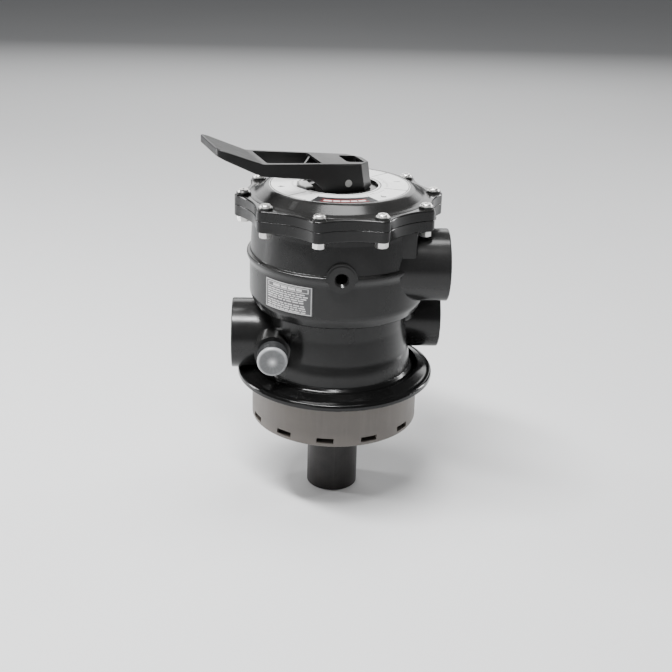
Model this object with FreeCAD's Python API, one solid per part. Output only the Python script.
import FreeCAD, Part
import math
import os
from FreeCAD import Vector

# Six-position multiport valve for the top of a 1.5 inch pool filter tank.
# Millimetres. The origin is the centre of the tank flange's sealing face, +Z runs up the
# valve's axis, +X points along the pump port, and the gauge port faces -Y.

# ---- driving dimensions -------------------------------------------------------------------
UP = Vector(0, 0, 1)
ORIGIN = Vector(0, 0, 0)

# tank flange and what hangs below it
TANK_FLANGE_R = 91.8
SPIGOT_R = 78.1               # diffuser ring, which drops into the tank's neck
SPIGOT_BOTTOM = -41.8
DIFFUSER_WALL = 3.0
CUP_LIP_R = 77.0              # lip of the cup that sits in the flange
DIFFUSER_SLOTS = 12
SLOT_WIDTH = 15.5
SLOT_HEIGHT = 4.8
SLOT_Z = -36.0
SLOT_START = -7.8             # degrees from the front
NECK_R = 70.0                 # body's neck inside the diffuser ring
NECK_BOTTOM = -22.0
PIPE_R = 24.15                # 1.5 inch pipe, 48.3 mm outside
PIPE_WALL = 3.7
PIPE_BOTTOM = -117.6
PIPE_SHOULDER = -43.0         # the pipe is turned down above this
TENON_R = 23.4
TENON_TOP = 34.0
GUIDE_TOP = 62.0

# casing
LOWER_R = 67.4
STEP_Z = 71.6                 # where the wide rotor chamber meets the narrow port chamber
WALL_R = 80.8                 # rotor chamber, outside, below the ledge
CHAMBER_R = 73.5              # rotor chamber, inside
LOWER_CHAMBER_R = 60.5        # port chamber, inside
SEAT_BOTTOM = 71.0
SEAT_TOP = 79.0
FLOOR_TOP = 9.0
PARTING_Z = 164.6             # face between body flange and cover flange
BODY_FLANGE_BOTTOM = 154.3
COVER_FLANGE_TOP = 173.9
WEB = 4.0                     # thickness of the radial webs between the port chambers
SECTORS = 6

# ports: outside radius, bore radius and the depth of the pipe socket
PORT_R = 32.6
SOCKET_R = 24.2
SOCKET_DEPTH = 22.0
MOUTH_CHAMFER = 0.8
PORT_WAY_R = 20.5             # passage behind the socket
PUMP_Y = -30.0
PUMP_Z = 117.2
PUMP_END = 97.0
SADDLE_INNER = 45.0            # block between the pump port and the body flange, along X
SADDLE_OUTER = 66.5
SADDLE_SIDE = 29.0             # reach of that block in front of the pump port's axis
RETURN_Y = 38.0
RETURN_Z = 44.2
RETURN_END = 100.0
WASTE_Z = 37.5
WASTE_END = -97.0

# gauge port
GAUGE_Z = 120.4
GAUGE_BOSS_R = 12.0
GAUGE_FACE = 85.0             # distance of the boss face in front of the axis
GAUGE_HOLE_R = 5.5
GAUGE_DEPTH = 14.0

# sight glass on the waste port
SIGHT_X = -58.5
SIGHT_BOSS_R = 16.5
SIGHT_BOSS_FACE = 51.0
SIGHT_THREAD_R = 11.0
SIGHT_CUP_R = 13.7
SIGHT_CUP_FACE = 70.0

# bolt circle
BOLTS = 10
BOLT_R = 86.3
BOLT_START = -13.5            # degrees from the front
BOLT_SHANK_R = 3.0
BOLT_HOLE_R = 3.4
LOBE_TIP_R = 94.4             # scalloped flange: reach at a bolt
LOBE_CORNER_R = 7.0
LOBE_GAP_R = 84.6             # scalloped flange: reach between two bolts
NUT_FLATS = 10.0
NUT_HEIGHT = 5.4
HEAD_R = 4.8
HEAD_HEIGHT = 2.0
WASHER_R = 5.6
WASHER_T = 0.6
BOLT_BOSS_R = 6.6
BOLT_BOSS_TOP = 175.8

# cover top
LABEL_Z = 182.0
LABEL_T = 0.35
LABEL_R = 63.5
RECESS_R = 34.8
RECESS_Z = 176.6
STEM_HOLE_R = 11.25

# rotor and stem
STEM_R = 11.17
STEM_TOP = 197.5
GASKET_T = 2.6
ROTOR_Z = SEAT_TOP + GASKET_T + 0.1
ROTOR_R = 70.5
ROTOR_PLATE_T = 6.0
SPRING_R = 19.0
SPRING_WIRE_R = 1.9
SPRING_TURNS = 5

# handle, drawn with its lever along -X and turned to the selected position at the end
HANDLE_ANGLE = 18.0           # degrees about +Z from the -X direction
PIN_Z = 188.4
PIN_R = 3.25
HUB_END = -12.0               # lever coordinates: distance from the axis towards the grip
NOSE_END = -23.3
ELBOW = 80.0
GRIP_END = 121.0
HUB_HALF = 20.3
ELBOW_HALF = 28.9
GRIP_HALF = 35.0
HUB_LEAN = 0.16               # how far the hub's end leans out, per mm down
HUB_TOP = 206.0
ELBOW_TOP = 212.0
GRIP_TOP = 228.6
CHEEK = 3.6                   # thickness of the lever's side walls
RIM_R = 1.0                   # rounding round the lever's top
WINDOW_START = 24.3
WINDOW_END = 75.5


# ---- helpers ------------------------------------------------------------------------------
def front_angle(degrees):
    """Unit direction at an angle from the front (-Y), positive towards +X."""
    a = math.radians(degrees)
    return Vector(math.sin(a), -math.cos(a), 0)


def rounded_wire(points, to_space):
    """Closed wire through (a, b) or (a, b, radius) corners, with the radii as arcs."""
    corners = [(Vector(p[0], p[1], 0), p[2] if len(p) > 2 else 0.0) for p in points]
    edges = []
    ends = []
    for i, (corner, radius) in enumerate(corners):
        if radius <= 0:
            ends.append((corner, corner))
            continue
        back = corners[i - 1][0] - corner
        ahead = corners[(i + 1) % len(corners)][0] - corner
        half = back.getAngle(ahead) / 2
        back.normalize()
        ahead.normalize()
        run = radius / math.tan(half)
        middle = (back + ahead).normalize() * (radius / math.sin(half) - radius)
        start = corner + back * run
        end = corner + ahead * run
        arc = Part.Arc(to_space(start), to_space(corner + middle), to_space(end))
        edges.append((i, arc.toShape()))
        ends.append((start, end))
    arcs = dict(edges)
    chain = []
    for i in range(len(corners)):
        if i in arcs:
            chain.append(arcs[i])
        here = to_space(ends[i][1])
        there = to_space(ends[(i + 1) % len(corners)][0])
        if here.distanceToPoint(there) > 1e-6:
            chain.append(Part.makeLine(here, there))
    return Part.Wire(chain)


def turned(points):
    """Solid of revolution about Z from (radius, height) corners with optional rounding."""
    wire = rounded_wire(points, lambda v: Vector(v.x, 0, v.y))
    return Part.Face(wire).revolve(ORIGIN, UP, 360)


def plate(points, z_low, z_high):
    """Flat plate from (x, y) corners with optional rounding."""
    wire = rounded_wire(points, lambda v: Vector(v.x, v.y, z_low))
    return Part.Face(wire).extrude(Vector(0, 0, z_high - z_low))


def side_plate(points, y_low, y_high):
    """Plate standing in the XZ plane, from (x, z) corners, between two values of y."""
    wire = rounded_wire(points, lambda v: Vector(v.x, y_low, v.y))
    return Part.Face(wire).extrude(Vector(0, y_high - y_low, 0))


def cylinder(radius, start, end):
    """Cylinder between two points."""
    axis = end - start
    return Part.makeCylinder(radius, axis.Length, start, axis)


def disc(radius, z_low, z_high, centre=ORIGIN):
    """Upright cylinder about a vertical axis through centre."""
    return Part.makeCylinder(radius, z_high - z_low, Vector(centre.x, centre.y, z_low), UP)


def ring(outer, inner, z_low, z_high):
    """Upright tube."""
    return disc(outer, z_low, z_high).cut(disc(inner, z_low - 1, z_high + 1))


def box(x_low, x_high, y_low, y_high, z_low, z_high):
    """Box between two corners."""
    size = (x_high - x_low, y_high - y_low, z_high - z_low)
    return Part.makeBox(*size, Vector(x_low, y_low, z_low))


def spun(shape, degrees):
    """Copy of a shape turned about the valve's axis."""
    turned_copy = shape.copy()
    turned_copy.rotate(ORIGIN, UP, degrees)
    return turned_copy


def around(shape, count, start):
    """Copies of a shape drawn at the front, spaced evenly about the axis."""
    return [spun(shape, start + i * 360.0 / count) for i in range(count)]


def joined(shapes):
    """One solid from several overlapping ones."""
    return shapes[0].fuse(shapes[1:]).removeSplitter()


def o_ring(ring_radius, section_radius, z):
    """O-ring lying in a level plane."""
    return Part.makeTorus(ring_radius, section_radius, Vector(0, 0, z), UP)


def front_o_ring(ring_radius, section_radius, x, y, z):
    """O-ring whose axis runs along Y."""
    return Part.makeTorus(ring_radius, section_radius, Vector(x, y, z), Vector(0, 1, 0))


def at_lever(shape):
    """Turn a shape drawn with the lever along -X to the selected position."""
    return spun(shape, HANDLE_ANGLE)


def scalloped(z_low, z_high):
    """Bolt flange whose rim reaches out round each bolt and falls back between them."""
    lobe_centre = LOBE_TIP_R - LOBE_CORNER_R
    step = math.radians(180.0 / BOLTS)
    top = LOBE_CORNER_R ** 2 - lobe_centre ** 2 - LOBE_GAP_R ** 2
    top += 2 * lobe_centre * LOBE_GAP_R * math.cos(step)
    hollow_r = top / (2 * (LOBE_GAP_R - lobe_centre * math.cos(step) - LOBE_CORNER_R))
    hollow_centre = LOBE_GAP_R + hollow_r
    edges = []
    for i in range(BOLTS):
        at_bolt = BOLT_START + i * 360.0 / BOLTS
        before = front_angle(at_bolt - 180.0 / BOLTS) * hollow_centre
        after = front_angle(at_bolt + 180.0 / BOLTS) * hollow_centre
        following = front_angle(at_bolt + 360.0 / BOLTS) * lobe_centre
        lobe = front_angle(at_bolt) * lobe_centre
        start = lobe + (before - lobe).normalize() * LOBE_CORNER_R
        end = lobe + (after - lobe).normalize() * LOBE_CORNER_R
        tip = front_angle(at_bolt) * LOBE_TIP_R
        gap = front_angle(at_bolt + 180.0 / BOLTS) * LOBE_GAP_R
        restart = following + (after - following).normalize() * LOBE_CORNER_R
        edges.append(Part.Arc(start, tip, end).toShape())
        edges.append(Part.Arc(end, gap, restart).toShape())
    face = Part.Face(Part.Wire(edges))
    face.translate(Vector(0, 0, z_low))
    return face.extrude(Vector(0, 0, z_high - z_low))


def rim_rounded(flange, z, radius):
    """Round the flange's rim at one level."""
    rim = [e for e in flange.Edges if abs(e.BoundBox.ZMin - z) + abs(e.BoundBox.ZMax - z) < 1e-3]
    return flange.makeFillet(radius, rim)


def bolt_holes(z_low, z_high):
    """Cutters for the clearance holes of the bolt circle."""
    hole = disc(BOLT_HOLE_R, z_low, z_high, Vector(0, -BOLT_R, 0))
    return around(hole, BOLTS, BOLT_START)


# ---- casing -------------------------------------------------------------------------------
def casing_outside():
    """Turned outside of the body: tank flange, port chamber, rotor chamber and ledge."""
    return turned([
        (0, 0),
        (TANK_FLANGE_R, 0, 1.2),
        (TANK_FLANGE_R, 5.6, 2.4),
        (87.0, 6.4, 8.0),
        (78.6, 10.8, 1.6),
        (76.4, 10.8, 1.2),
        (73.6, 9.0, 2.0),
        (70.4, 12.4, 2.5),
        (69.4, 24.0, 40.0),
        (LOWER_R, 31.0, 20.0),
        (65.0, 54.0, 30.0),
        (64.8, STEP_Z, 1.5),
        (75.6, STEP_Z, 2.5),
        (WALL_R, 81.5, 10.0),
        (WALL_R, 112.6, 8.0),
        (83.6, 118.2, 4.0),
        (83.4, 121.3, 1.3),
        (80.2, 121.6, 0.6),
        (78.8, 148.0),
        (78.8, BODY_FLANGE_BOTTOM + 1),
        (0, BODY_FLANGE_BOTTOM + 1),
    ])


def ports_outside():
    """The three pipe sockets, the shoulder over the return port and the pump port's saddle."""
    lip = 1.2
    pump = cylinder(PORT_R, Vector(40, PUMP_Y, PUMP_Z), Vector(PUMP_END, PUMP_Y, PUMP_Z))
    back = cylinder(PORT_R, Vector(20, RETURN_Y, RETURN_Z), Vector(RETURN_END, RETURN_Y, RETURN_Z))
    waste = cylinder(PORT_R, Vector(WASTE_END, 0, WASTE_Z), Vector(-20, 0, WASTE_Z))
    rounded = []
    for port, end in ((pump, PUMP_END), (back, RETURN_END), (waste, WASTE_END)):
        rim = [e for e in port.Edges if abs(e.BoundBox.XMin - end) + abs(e.BoundBox.XMax - end) < 1e-3]
        rounded.append(port.makeFillet(lip, rim))
    shoulder = disc(24.0, 50.0, STEP_Z + 12, Vector(52.0, 14.0, 0))
    foot = [e for e in shoulder.Edges if e.BoundBox.ZMax < 50.5]
    shoulder = shoulder.makeFillet(5.0, foot)
    front = PUMP_Y - SADDLE_SIDE
    saddle = plate([(SADDLE_INNER, 0), (SADDLE_INNER, front), (SADDLE_OUTER, front, 3.0), (SADDLE_OUTER, 0)],
                   PUMP_Z, BODY_FLANGE_BOTTOM + 1)
    return rounded + [shoulder, saddle]


def small_bosses():
    """Gauge boss on the front, sight glass boss on the waste port and its gusset."""
    gauge = cylinder(GAUGE_BOSS_R, Vector(0, -70, GAUGE_Z), Vector(0, -GAUGE_FACE, GAUGE_Z))
    arch = cylinder(GAUGE_BOSS_R + 1.8, Vector(0, -70, GAUGE_Z), Vector(0, -GAUGE_FACE + 1.6, GAUGE_Z))
    arch = arch.common(box(-20, 20, -90, -60, GAUGE_Z - 3.0, GAUGE_Z + 20))
    sight = cylinder(SIGHT_BOSS_R, Vector(SIGHT_X, -10, WASTE_Z),
                     Vector(SIGHT_X, -SIGHT_BOSS_FACE, WASTE_Z))
    gusset = box(SIGHT_X, -30, -49, -10, WASTE_Z - 1.6, WASTE_Z + 1.6)
    return [gauge, arch, sight, gusset]


def casing_hollows():
    """Everything that is cut out of the body."""
    rotor_chamber = disc(CHAMBER_R, SEAT_TOP, PARTING_Z + 5)
    mouth = turned([(CHAMBER_R - 1, 158.0), (CHAMBER_R, 158.0), (77.0, 165.6), (CHAMBER_R - 1, 165.6)])
    port_chamber = ring(LOWER_CHAMBER_R, PIPE_R + 5.0, FLOOR_TOP, SEAT_BOTTOM)
    webs = [box(PIPE_R, LOWER_CHAMBER_R + 2, -WEB / 2, WEB / 2, 0, SEAT_TOP)]
    webs = [spun(webs[0], 30 + i * 360.0 / SECTORS) for i in range(SECTORS)]
    port_chamber = port_chamber.cut(webs[0].fuse(webs[1:]))
    pipe_bore = disc(TENON_R + 0.05, NECK_BOTTOM - 1, GUIDE_TOP + 0.2)
    seat_openings = [spun(sector_window(34.0, 64.0, SEAT_BOTTOM - 1, SEAT_TOP + 1), i * 60.0)
                     for i in range(SECTORS)]
    tank_openings = [spun(sector_window(33.0, 58.0, NECK_BOTTOM - 1, FLOOR_TOP + 1), a)
                     for a in (60.0, 120.0)]
    pipe_window = box(PIPE_R - 3, PIPE_R + 8, -9, 9, GUIDE_TOP - 26, GUIDE_TOP)
    o_ring_groove = o_ring(76.0, 1.9, PARTING_Z)
    return ([rotor_chamber, mouth, port_chamber, pipe_bore, o_ring_groove, spun(pipe_window, -60.0)]
            + seat_openings + tank_openings + port_ways())


def mouth(radius, face, inward):
    """Cone that chamfers the mouth of a round hole."""
    return Part.makeCone(radius + 2 * MOUTH_CHAMFER, radius, 2 * MOUTH_CHAMFER, face - inward * MOUTH_CHAMFER, inward)


def socket(face, outward, way_end):
    """Cutters of a pipe socket along X: socket, passage behind it and chamfered mouth."""
    out = Vector(outward, 0, 0)
    wide = cylinder(SOCKET_R, face + out, face - out * SOCKET_DEPTH)
    way = cylinder(PORT_WAY_R, face, Vector(way_end, face.y, face.z))
    return [wide, way, mouth(SOCKET_R, face, -out)]


def port_ways():
    """Pipe sockets, the passages behind them and the gauge and sight glass holes."""
    pump = socket(Vector(PUMP_END, PUMP_Y, PUMP_Z), 1, 50.0)
    back = socket(Vector(RETURN_END, RETURN_Y, RETURN_Z), 1, 42.0)
    waste = socket(Vector(WASTE_END, 0, WASTE_Z), -1, -52.0)
    gauge = cylinder(GAUGE_HOLE_R, Vector(0, -GAUGE_FACE - 1, GAUGE_Z),
                     Vector(0, -GAUGE_FACE + GAUGE_DEPTH, GAUGE_Z))
    gauge_mouth = mouth(GAUGE_HOLE_R, Vector(0, -GAUGE_FACE, GAUGE_Z), Vector(0, 1, 0))
    sight = cylinder(SIGHT_THREAD_R + 0.05, Vector(SIGHT_X, -SIGHT_BOSS_FACE - 1, WASTE_Z),
                     Vector(SIGHT_X, -15, WASTE_Z))
    return pump + back + waste + [gauge, gauge_mouth, sight]


def sector_window(inner, outer, z_low, z_high):
    """Wedge-shaped opening between two webs, drawn at the +X side."""
    half = math.radians(30.0)
    clear = WEB / 2 + 1.5
    corners = []
    for radius, sign in ((inner, -1), (outer, -1), (outer, 1), (inner, 1)):
        reach = radius * math.cos(half) if radius == outer else inner
        side = reach * math.tan(half) - clear / math.cos(half)
        corners.append((reach, sign * side, 3.0))
    return plate(corners, z_low, z_high)


def valve_body():
    """Moulded body: one piece from the tank neck to the cover flange."""
    neck = ring(NECK_R, NECK_R - 5.0, NECK_BOTTOM, 0.5)
    pipe_guide = disc(PIPE_R + 5.0, NECK_BOTTOM + 6, FLOOR_TOP)
    body_flange = rim_rounded(scalloped(BODY_FLANGE_BOTTOM, PARTING_Z), BODY_FLANGE_BOTTOM, 1.2)
    body_flange = rim_rounded(body_flange, PARTING_Z, 0.6)
    solid = joined([casing_outside()] + ports_outside() + small_bosses()
                   + [body_flange, pipe_guide])
    hollows = casing_hollows()
    solid = solid.cut(hollows[0].fuse(hollows[1:]))
    solid = solid.cut(bolt_holes(BODY_FLANGE_BOTTOM - 6, PARTING_Z + 1))
    seal_groove = ring(SPIGOT_R + 7.2, SPIGOT_R + 2.2, -1, 2.2)
    solid = solid.cut(ring(CUP_LIP_R + 0.1, NECK_R, -1, 1.5)).cut(seal_groove)
    return solid.fuse(neck).removeSplitter()


def cover():
    """Domed cover with its scalloped flange, stem guide and label seat."""
    outside = turned([
        (0, PARTING_Z - 6),
        (CHAMBER_R - 1.0, PARTING_Z - 6),
        (CHAMBER_R - 0.6, PARTING_Z),
        (82.0, PARTING_Z),
        (82.0, COVER_FLANGE_TOP, 2.0),
        (76.5, COVER_FLANGE_TOP + 1.4, 6.0),
        (LABEL_R + 3.0, LABEL_Z + 0.3, 7.0),
        (LABEL_R + 0.4, LABEL_Z + 0.3),
        (LABEL_R + 0.4, LABEL_Z),
        (0, LABEL_Z),
    ])
    flange = rim_rounded(scalloped(PARTING_Z, COVER_FLANGE_TOP), COVER_FLANGE_TOP, 1.4)
    flange = rim_rounded(flange, PARTING_Z, 0.6)
    inside = turned([
        (0, PARTING_Z - 8),
        (CHAMBER_R - 6.0, PARTING_Z - 8),
        (CHAMBER_R - 6.0, 168.0, 6.0),
        (58.0, 176.0, 6.0),
        (RECESS_R + 6.0, 176.0, 2.0),
        (RECESS_R + 3.0, 170.6, 2.0),
        (0, 170.6),
    ])
    guide = disc(16.5, 150.0, 172.0)
    recess = turned([(0, RECESS_Z), (RECESS_R, RECESS_Z, 1.0), (RECESS_R, LABEL_Z + 2), (0, LABEL_Z + 2)])
    stem_hole = disc(STEM_HOLE_R, 140, 200)
    solid = joined([outside, flange])
    solid = solid.cut(inside).fuse(guide).cut([recess, stem_hole])
    solid = solid.cut(o_ring(76.0, 1.9, PARTING_Z))
    boss = disc(BOLT_BOSS_R, COVER_FLANGE_TOP - 1, BOLT_BOSS_TOP, Vector(0, -BOLT_R, 0))
    spot_face = disc(BOLT_BOSS_R, BOLT_BOSS_TOP, BOLT_BOSS_TOP + 8, Vector(0, -BOLT_R, 0))
    solid = solid.fuse(around(boss, BOLTS, BOLT_START)).cut(around(spot_face, BOLTS, BOLT_START))
    return solid.cut(bolt_holes(PARTING_Z - 1, COVER_FLANGE_TOP + 8)).removeSplitter()


def spider_gasket():
    """Seat gasket: two rings joined by a spoke over each web."""
    z_low = SEAT_TOP
    z_high = SEAT_TOP + GASKET_T
    parts = [ring(69.0, 64.6, z_low, z_high), ring(33.6, 29.0, z_low, z_high)]
    spoke = box(31.0, 67.0, -1.6, 1.6, z_low, z_high)
    parts += [spun(spoke, 30 + i * 60.0) for i in range(SECTORS)]
    return joined(parts)


def cover_o_ring():
    """Seal squeezed between cover and body, inside the bolt circle."""
    return o_ring(76.0, 1.85, PARTING_Z)


def cover_screws():
    """Ten pan head machine screws, from the cover down through both flanges."""
    head_low = BOLT_BOSS_TOP + WASHER_T
    head = turned([(0, head_low), (HEAD_R, head_low), (HEAD_R, head_low + HEAD_HEIGHT, 1.5),
                   (0, head_low + HEAD_HEIGHT)])
    recess = joined([box(-2.8, 2.8, -0.55, 0.55, head_low + 0.6, head_low + 6),
                     box(-0.55, 0.55, -2.8, 2.8, head_low + 0.6, head_low + 6)])
    shank = disc(BOLT_SHANK_R, BODY_FLANGE_BOTTOM - NUT_HEIGHT - 0.2, head_low + 1)
    screw = joined([head, shank]).cut(recess)
    screw.translate(Vector(0, -BOLT_R, 0))
    return Part.makeCompound(around(screw, BOLTS, BOLT_START))


def screw_washers():
    """Flat washer under each screw head."""
    washer = ring(WASHER_R, BOLT_SHANK_R + 0.2, BOLT_BOSS_TOP, BOLT_BOSS_TOP + WASHER_T)
    washer.translate(Vector(0, -BOLT_R, 0))
    return Part.makeCompound(around(washer, BOLTS, BOLT_START))


def cover_nuts():
    """Hexagon nut under the body flange on each screw."""
    z_low = BODY_FLANGE_BOTTOM - NUT_HEIGHT
    corner = NUT_FLATS / 2 / math.cos(math.radians(30))
    hexagon = [tuple(front_angle(60 * k) * corner)[:2] for k in range(6)]
    nut = plate(hexagon, z_low, BODY_FLANGE_BOTTOM)
    crown = turned([(0, z_low), (corner - 0.9, z_low), (corner + 0.3, z_low + 0.9),
                    (corner + 0.3, BODY_FLANGE_BOTTOM), (0, BODY_FLANGE_BOTTOM)])
    nut = nut.common(crown).cut(disc(BOLT_SHANK_R + 0.02, z_low - 1, BODY_FLANGE_BOTTOM + 1))
    nut.translate(Vector(0, -BOLT_R, 0))
    return Part.makeCompound(around(nut, BOLTS, BOLT_START))


# ---- labels -------------------------------------------------------------------------------
def position_label():
    """Printed ring round the handle that shows the six positions."""
    return ring(LABEL_R, RECESS_R + 0.2, LABEL_Z, LABEL_Z + LABEL_T)


def name_panel():
    """Blank dark panel on the front of the position label."""
    z_low = LABEL_Z + LABEL_T
    sector = ring(LABEL_R - 0.3, 47.0, z_low, z_low + 0.3)
    wedge = spun(plate([(0, 0), (-50, -96), (50, -96)], z_low - 1, z_low + 1), 2.0)
    return sector.common(wedge)


def rating_label():
    """Blank rating plate on the front of the rotor chamber, left of the gauge boss."""
    shell = ring(WALL_R + LABEL_T, WALL_R, 84.2, 110.5)
    wedge = plate([(0, 0), tuple(front_angle(-53.0) * 120)[:2], tuple(front_angle(-17.5) * 120)[:2]], 80, 115)
    return shell.common(wedge)


# ---- parts below the flange ---------------------------------------------------------------
def tank_seal():
    """O-ring in the groove of the tank flange's sealing face, pressed flush."""
    return o_ring(SPIGOT_R + 4.7, 1.05, 1.1)


def diffuser_ring():
    """Diffuser cup that locates the valve in the tank neck, with slots near its foot."""
    top = 0.9
    cup = turned([
        (NECK_R + 0.15, top),
        (CUP_LIP_R, top),
        (CUP_LIP_R, 0),
        (SPIGOT_R, 0),
        (SPIGOT_R, SPIGOT_BOTTOM, 1.2),
        (TENON_R + 0.4, SPIGOT_BOTTOM),
        (TENON_R + 0.4, SPIGOT_BOTTOM + 2.0),
        (SPIGOT_R - DIFFUSER_WALL, SPIGOT_BOTTOM + 2.0, 1.0),
        (SPIGOT_R - DIFFUSER_WALL, NECK_BOTTOM + 8, 1.0),
        (NECK_R + 0.15, NECK_BOTTOM + 11),
    ])
    slot = box(-SLOT_WIDTH / 2, SLOT_WIDTH / 2, -SPIGOT_R - 2, -SPIGOT_R + 8,
               SLOT_Z - SLOT_HEIGHT / 2, SLOT_Z + SLOT_HEIGHT / 2)
    return cup.cut(around(slot, DIFFUSER_SLOTS, SLOT_START))


def centre_pipe():
    """Stub of the pipe that runs down through the sand to the laterals."""
    return turned([
        (PIPE_R - PIPE_WALL, PIPE_BOTTOM),
        (PIPE_R, PIPE_BOTTOM, 0.8),
        (PIPE_R, PIPE_SHOULDER),
        (TENON_R, PIPE_SHOULDER),
        (TENON_R, TENON_TOP),
        (PIPE_R - PIPE_WALL, TENON_TOP),
    ])


def pipe_o_ring():
    """Seal between the pipe and the bottom of the body's guide."""
    return o_ring(TENON_R + 1.85, 1.8, NECK_BOTTOM + 4.1)


# ---- sight glass --------------------------------------------------------------------------
def sight_glass():
    """Clear cup screwed into the waste port, closed by its domed face."""
    flange_y = -SIGHT_BOSS_FACE - 1.9
    back = cylinder(SIGHT_THREAD_R, Vector(SIGHT_X, flange_y - 1, WASTE_Z),
                    Vector(SIGHT_X, -30, WASTE_Z))
    cup = cylinder(SIGHT_CUP_R, Vector(SIGHT_X, flange_y, WASTE_Z),
                   Vector(SIGHT_X, -SIGHT_CUP_FACE, WASTE_Z))
    rim = [e for e in cup.Edges if e.BoundBox.YMax < -SIGHT_CUP_FACE + 0.1]
    cup = cup.makeFillet(2.4, rim)
    hollow = cylinder(SIGHT_THREAD_R - 2.4, Vector(SIGHT_X, -29, WASTE_Z),
                      Vector(SIGHT_X, -SIGHT_CUP_FACE + 3.2, WASTE_Z))
    return joined([back, cup]).cut(hollow)


def sight_gasket():
    """O-ring under the sight glass's shoulder."""
    return front_o_ring(SIGHT_THREAD_R + 1.05, 0.95, SIGHT_X, -SIGHT_BOSS_FACE - 0.95, WASTE_Z)


# ---- rotor group --------------------------------------------------------------------------
def rotor():
    """Diverter: seat plate with one through window, a covered passage and the stem."""
    top = ROTOR_Z + ROTOR_PLATE_T
    base = disc(ROTOR_R, ROTOR_Z, top)
    cone = turned([(0, top - 1), (40.0, top - 1), (26.0, top + 14, 8.0), (24.0, 119.0, 1.0), (0, 119.0)])
    hood = turned([(22.0, top - 1), (66.0, top - 1), (60.0, top + 18, 8.0), (22.0, top + 18)])
    sweep = plate([(0, 0), (90, -50), (90, 50)], ROTOR_Z - 1, 140)
    hood = hood.common(spun(sweep, 180.0))
    stem = disc(STEM_R, 110.0, STEM_TOP - 2.0).fuse(
        turned([(0, STEM_TOP - 3), (STEM_R, STEM_TOP - 3), (STEM_R, STEM_TOP, 1.5), (0, STEM_TOP)]))
    solid = joined([base, cone, hood, stem])
    window = spun(sector_window(35.0, 63.0, ROTOR_Z - 1, top + 1), 0.0)
    passage = turned([(27.0, ROTOR_Z - 1), (62.0, ROTOR_Z - 1), (62.0, top - 1), (56.5, top + 14.5, 6.0),
                      (27.0, top + 14.5)])
    passage = passage.common(spun(plate([(4, 0), (90, -45), (90, 45)], ROTOR_Z - 2, 140), 180.0))
    pin_hole = cylinder(PIN_R + 0.05, Vector(0, -20, PIN_Z), Vector(0, 20, PIN_Z))
    grooves = [ring(STEM_R + 1, STEM_R - 1.9, z - 1.3, z + 1.3) for z in (156.0, 163.0)]
    solid = solid.cut([window, passage, pin_hole] + grooves)
    return at_lever(solid.removeSplitter())


def stem_o_rings():
    """Two O-rings that seal the stem in the cover's guide."""
    return Part.makeCompound([o_ring(STEM_R - 0.95, 0.97, z) for z in (156.0, 163.0)])


def lower_spring_washer():
    """Washer between the rotor's shoulder and the spring."""
    return ring(23.0, STEM_R + 0.4, 119.0, 120.2)


def upper_spring_washer():
    """Washer between the spring and the cover's stem guide."""
    return ring(23.0, STEM_R + 0.4, 148.8, 150.0)


def rotor_spring():
    """Compression spring that holds the rotor down on its seat."""
    low = 120.2 + SPRING_WIRE_R + 0.05
    high = 148.8 - SPRING_WIRE_R - 0.05
    coils = (high - low) / SPRING_TURNS
    helix = Part.makeHelix(coils, high - low, SPRING_R)
    helix.translate(Vector(0, 0, low))
    start = Vector(SPRING_R, 0, low)
    wire_section = Part.Wire(Part.makeCircle(SPRING_WIRE_R, start, Vector(0, 1, 0)))
    return Part.Wire(helix.Edges).makePipeShell([wire_section], True, True)


# ---- handle group -------------------------------------------------------------------------
def wear_washer():
    """Slippery washer that the index plate turns on."""
    return ring(30.0, STEM_HOLE_R + 1.5, RECESS_Z, RECESS_Z + 1.2)


def index_plate():
    """Disc that turns with the stem and carries the pointer."""
    z_low = RECESS_Z + 1.25
    solid = turned([(STEM_R + 0.1, z_low), (RECESS_R - 0.5, z_low), (RECESS_R - 0.5, z_low + 1.8, 0.5),
                    (STEM_R + 0.1, z_low + 1.8)])
    wall = box(-31.0, -28.6, -14.0, 14.0, z_low + 1.0, 184.0)
    tongue = plate([(-28.6, -13.5), (-28.6, 13.5), (-36.0, 13.5, 1.0), (-41.0, 0, 2.0), (-36.0, -13.5, 1.0)],
                   182.65, 184.0)
    return at_lever(joined([solid, wall, tongue]))


def pointer():
    """Pale tab on the index plate that points along the lever at the chosen position."""
    tab = plate([(-28.8, -9.5), (-28.8, 9.5), (-35.2, 9.5, 1.2), (-38.4, 0, 1.5), (-35.2, -9.5, 1.2)],
                184.0, 184.9)
    return at_lever(tab)


def lever_half(distance):
    """Half-width of the lever at a distance from the axis."""
    if distance <= ELBOW:
        return HUB_HALF + (distance - HUB_END) * (ELBOW_HALF - HUB_HALF) / (ELBOW - HUB_END)
    return ELBOW_HALF + (distance - ELBOW) * (GRIP_HALF - ELBOW_HALF) / (GRIP_END - ELBOW)


def lever_outline(inset, z):
    """Plan outline of the lever at a height, moved inwards by inset; the hub leans out below."""
    lean = (HUB_TOP - z) * HUB_LEAN - inset
    outline = []
    for side in (1, -1):
        row = [(-NOSE_END + lean, 8.0, 3.0),
               (-HUB_END + lean, lever_half(HUB_END) - inset, 1.5),
               (-ELBOW, lever_half(ELBOW) - inset, 60.0),
               (-GRIP_END + inset, lever_half(GRIP_END) - inset, 9.0)]
        row = [(x, side * y, r) for x, y, r in row]
        outline += row if side == 1 else row[::-1]
    return rounded_wire(outline, lambda v: Vector(v.x, v.y, z))


def lever_plan(inset):
    """Block with the lever's plan, tall enough for the whole lever."""
    return Part.makeLoft([lever_outline(inset, 160.0), lever_outline(inset, 240.0)], True, True)


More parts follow.
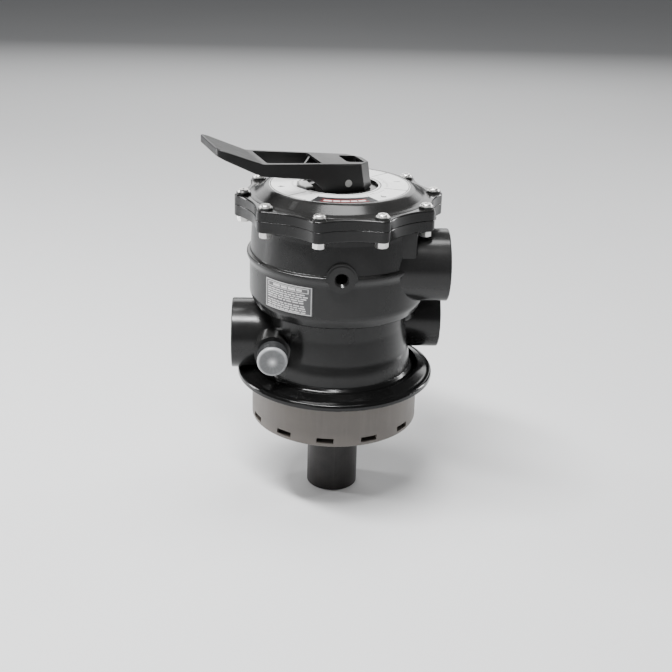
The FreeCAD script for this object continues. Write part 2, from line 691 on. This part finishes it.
def lever_profile():
    """Side view of the lever: hub lobe, straight shank and the grip bent upwards."""
    return [
        (40.0, HUB_TOP - 3.4),
        (-ELBOW, ELBOW_TOP, 10.0),
        (-GRIP_END, GRIP_TOP),
        (-GRIP_END, GRIP_TOP - 7.0),
        (-ELBOW - 2.0, ELBOW_TOP - 10.6, 10.0),
        (-36.0, 194.6, 8.0),
        (-30.0, 190.0, 4.0),
        (-22.0, 182.6, 4.0),
        (-15.0, 180.2, 3.0),
        (40.0, 180.2),
    ]


def handle():
    """Channel-section lever with an open window and a grip bent upwards."""
    profile = lever_profile()
    whole = side_plate(profile, -60, 60).common(lever_plan(0))
    rim = [e for e in whole.Edges if e.BoundBox.ZMin > HUB_TOP - 7 and e.Length > 2]
    whole = whole.makeFillet(RIM_R, rim)
    lowered = [(x, z - 2.8, r) for x, z, r in
               [(40.0, HUB_TOP - 2.6, 0), (-ELBOW, ELBOW_TOP, 10.0), (-GRIP_END - 20, GRIP_TOP + 8.1, 0)]]
    underside = side_plate(lowered + [(-GRIP_END - 20, 150), (40.0, 150)], -60, 60)
    hollow = underside.common(lever_plan(CHEEK))
    window = plate([(-WINDOW_START, -19.5, 2.0), (-WINDOW_START, 19.5, 2.0),
                    (-WINDOW_END, 23.5, 3.0), (-WINDOW_END, -23.5, 3.0)], 150, 260)
    hub_slot = plate([(2.0, -12.5, 3.0), (2.0, 12.5, 3.0), (18.5, 12.5, 2.0), (18.5, -12.5, 2.0)], 198, 260)
    solid = whole.cut(hollow).cut([window, hub_slot])
    rib = box(-33.7, -32.1, -27, 27, 197.0, 206.2)
    rib.rotate(Vector(-32.9, -2.1, 200), UP, -27.7)
    rib = rib.common(lever_plan(1.0)).cut(side_plate([(-24, 150), (40, 150), (40, 260), (-24, 260)], -60, 60))
    solid = joined([solid, rib])
    pin_hole = cylinder(PIN_R + 0.02, Vector(0, -40, PIN_Z), Vector(0, 40, PIN_Z))
    return at_lever(solid.cut(pin_hole))


def handle_pin():
    """Pin through both cheeks of the lever and the stem."""
    length = lever_half(0.0) + 0.6
    return at_lever(cylinder(PIN_R, Vector(0, -length, PIN_Z), Vector(0, length, PIN_Z)))


# ---- build --------------------------------------------------------------------------------
NODES = {
    "valve_body": valve_body,
    "cover": cover,
    "spider_gasket": spider_gasket,
    "cover_o_ring": cover_o_ring,
    "cover_screws": cover_screws,
    "screw_washers": screw_washers,
    "cover_nuts": cover_nuts,
    "position_label": position_label,
    "name_panel": name_panel,
    "rating_label": rating_label,
    "tank_seal": tank_seal,
    "diffuser_ring": diffuser_ring,
    "centre_pipe": centre_pipe,
    "pipe_o_ring": pipe_o_ring,
    "sight_glass": sight_glass,
    "sight_gasket": sight_gasket,
    "rotor": rotor,
    "stem_o_rings": stem_o_rings,
    "lower_spring_washer": lower_spring_washer,
    "upper_spring_washer": upper_spring_washer,
    "rotor_spring": rotor_spring,
    "wear_washer": wear_washer,
    "index_plate": index_plate,
    "pointer": pointer,
    "handle": handle,
    "handle_pin": handle_pin,
}

os.makedirs("parts", exist_ok=True)
for name, make in NODES.items():
    shape = make()
    print(name, "solids", len(shape.Solids), "valid", shape.isValid(), "volume", round(shape.Volume))
    shape.exportStep(os.path.join("parts", name + ".step"))
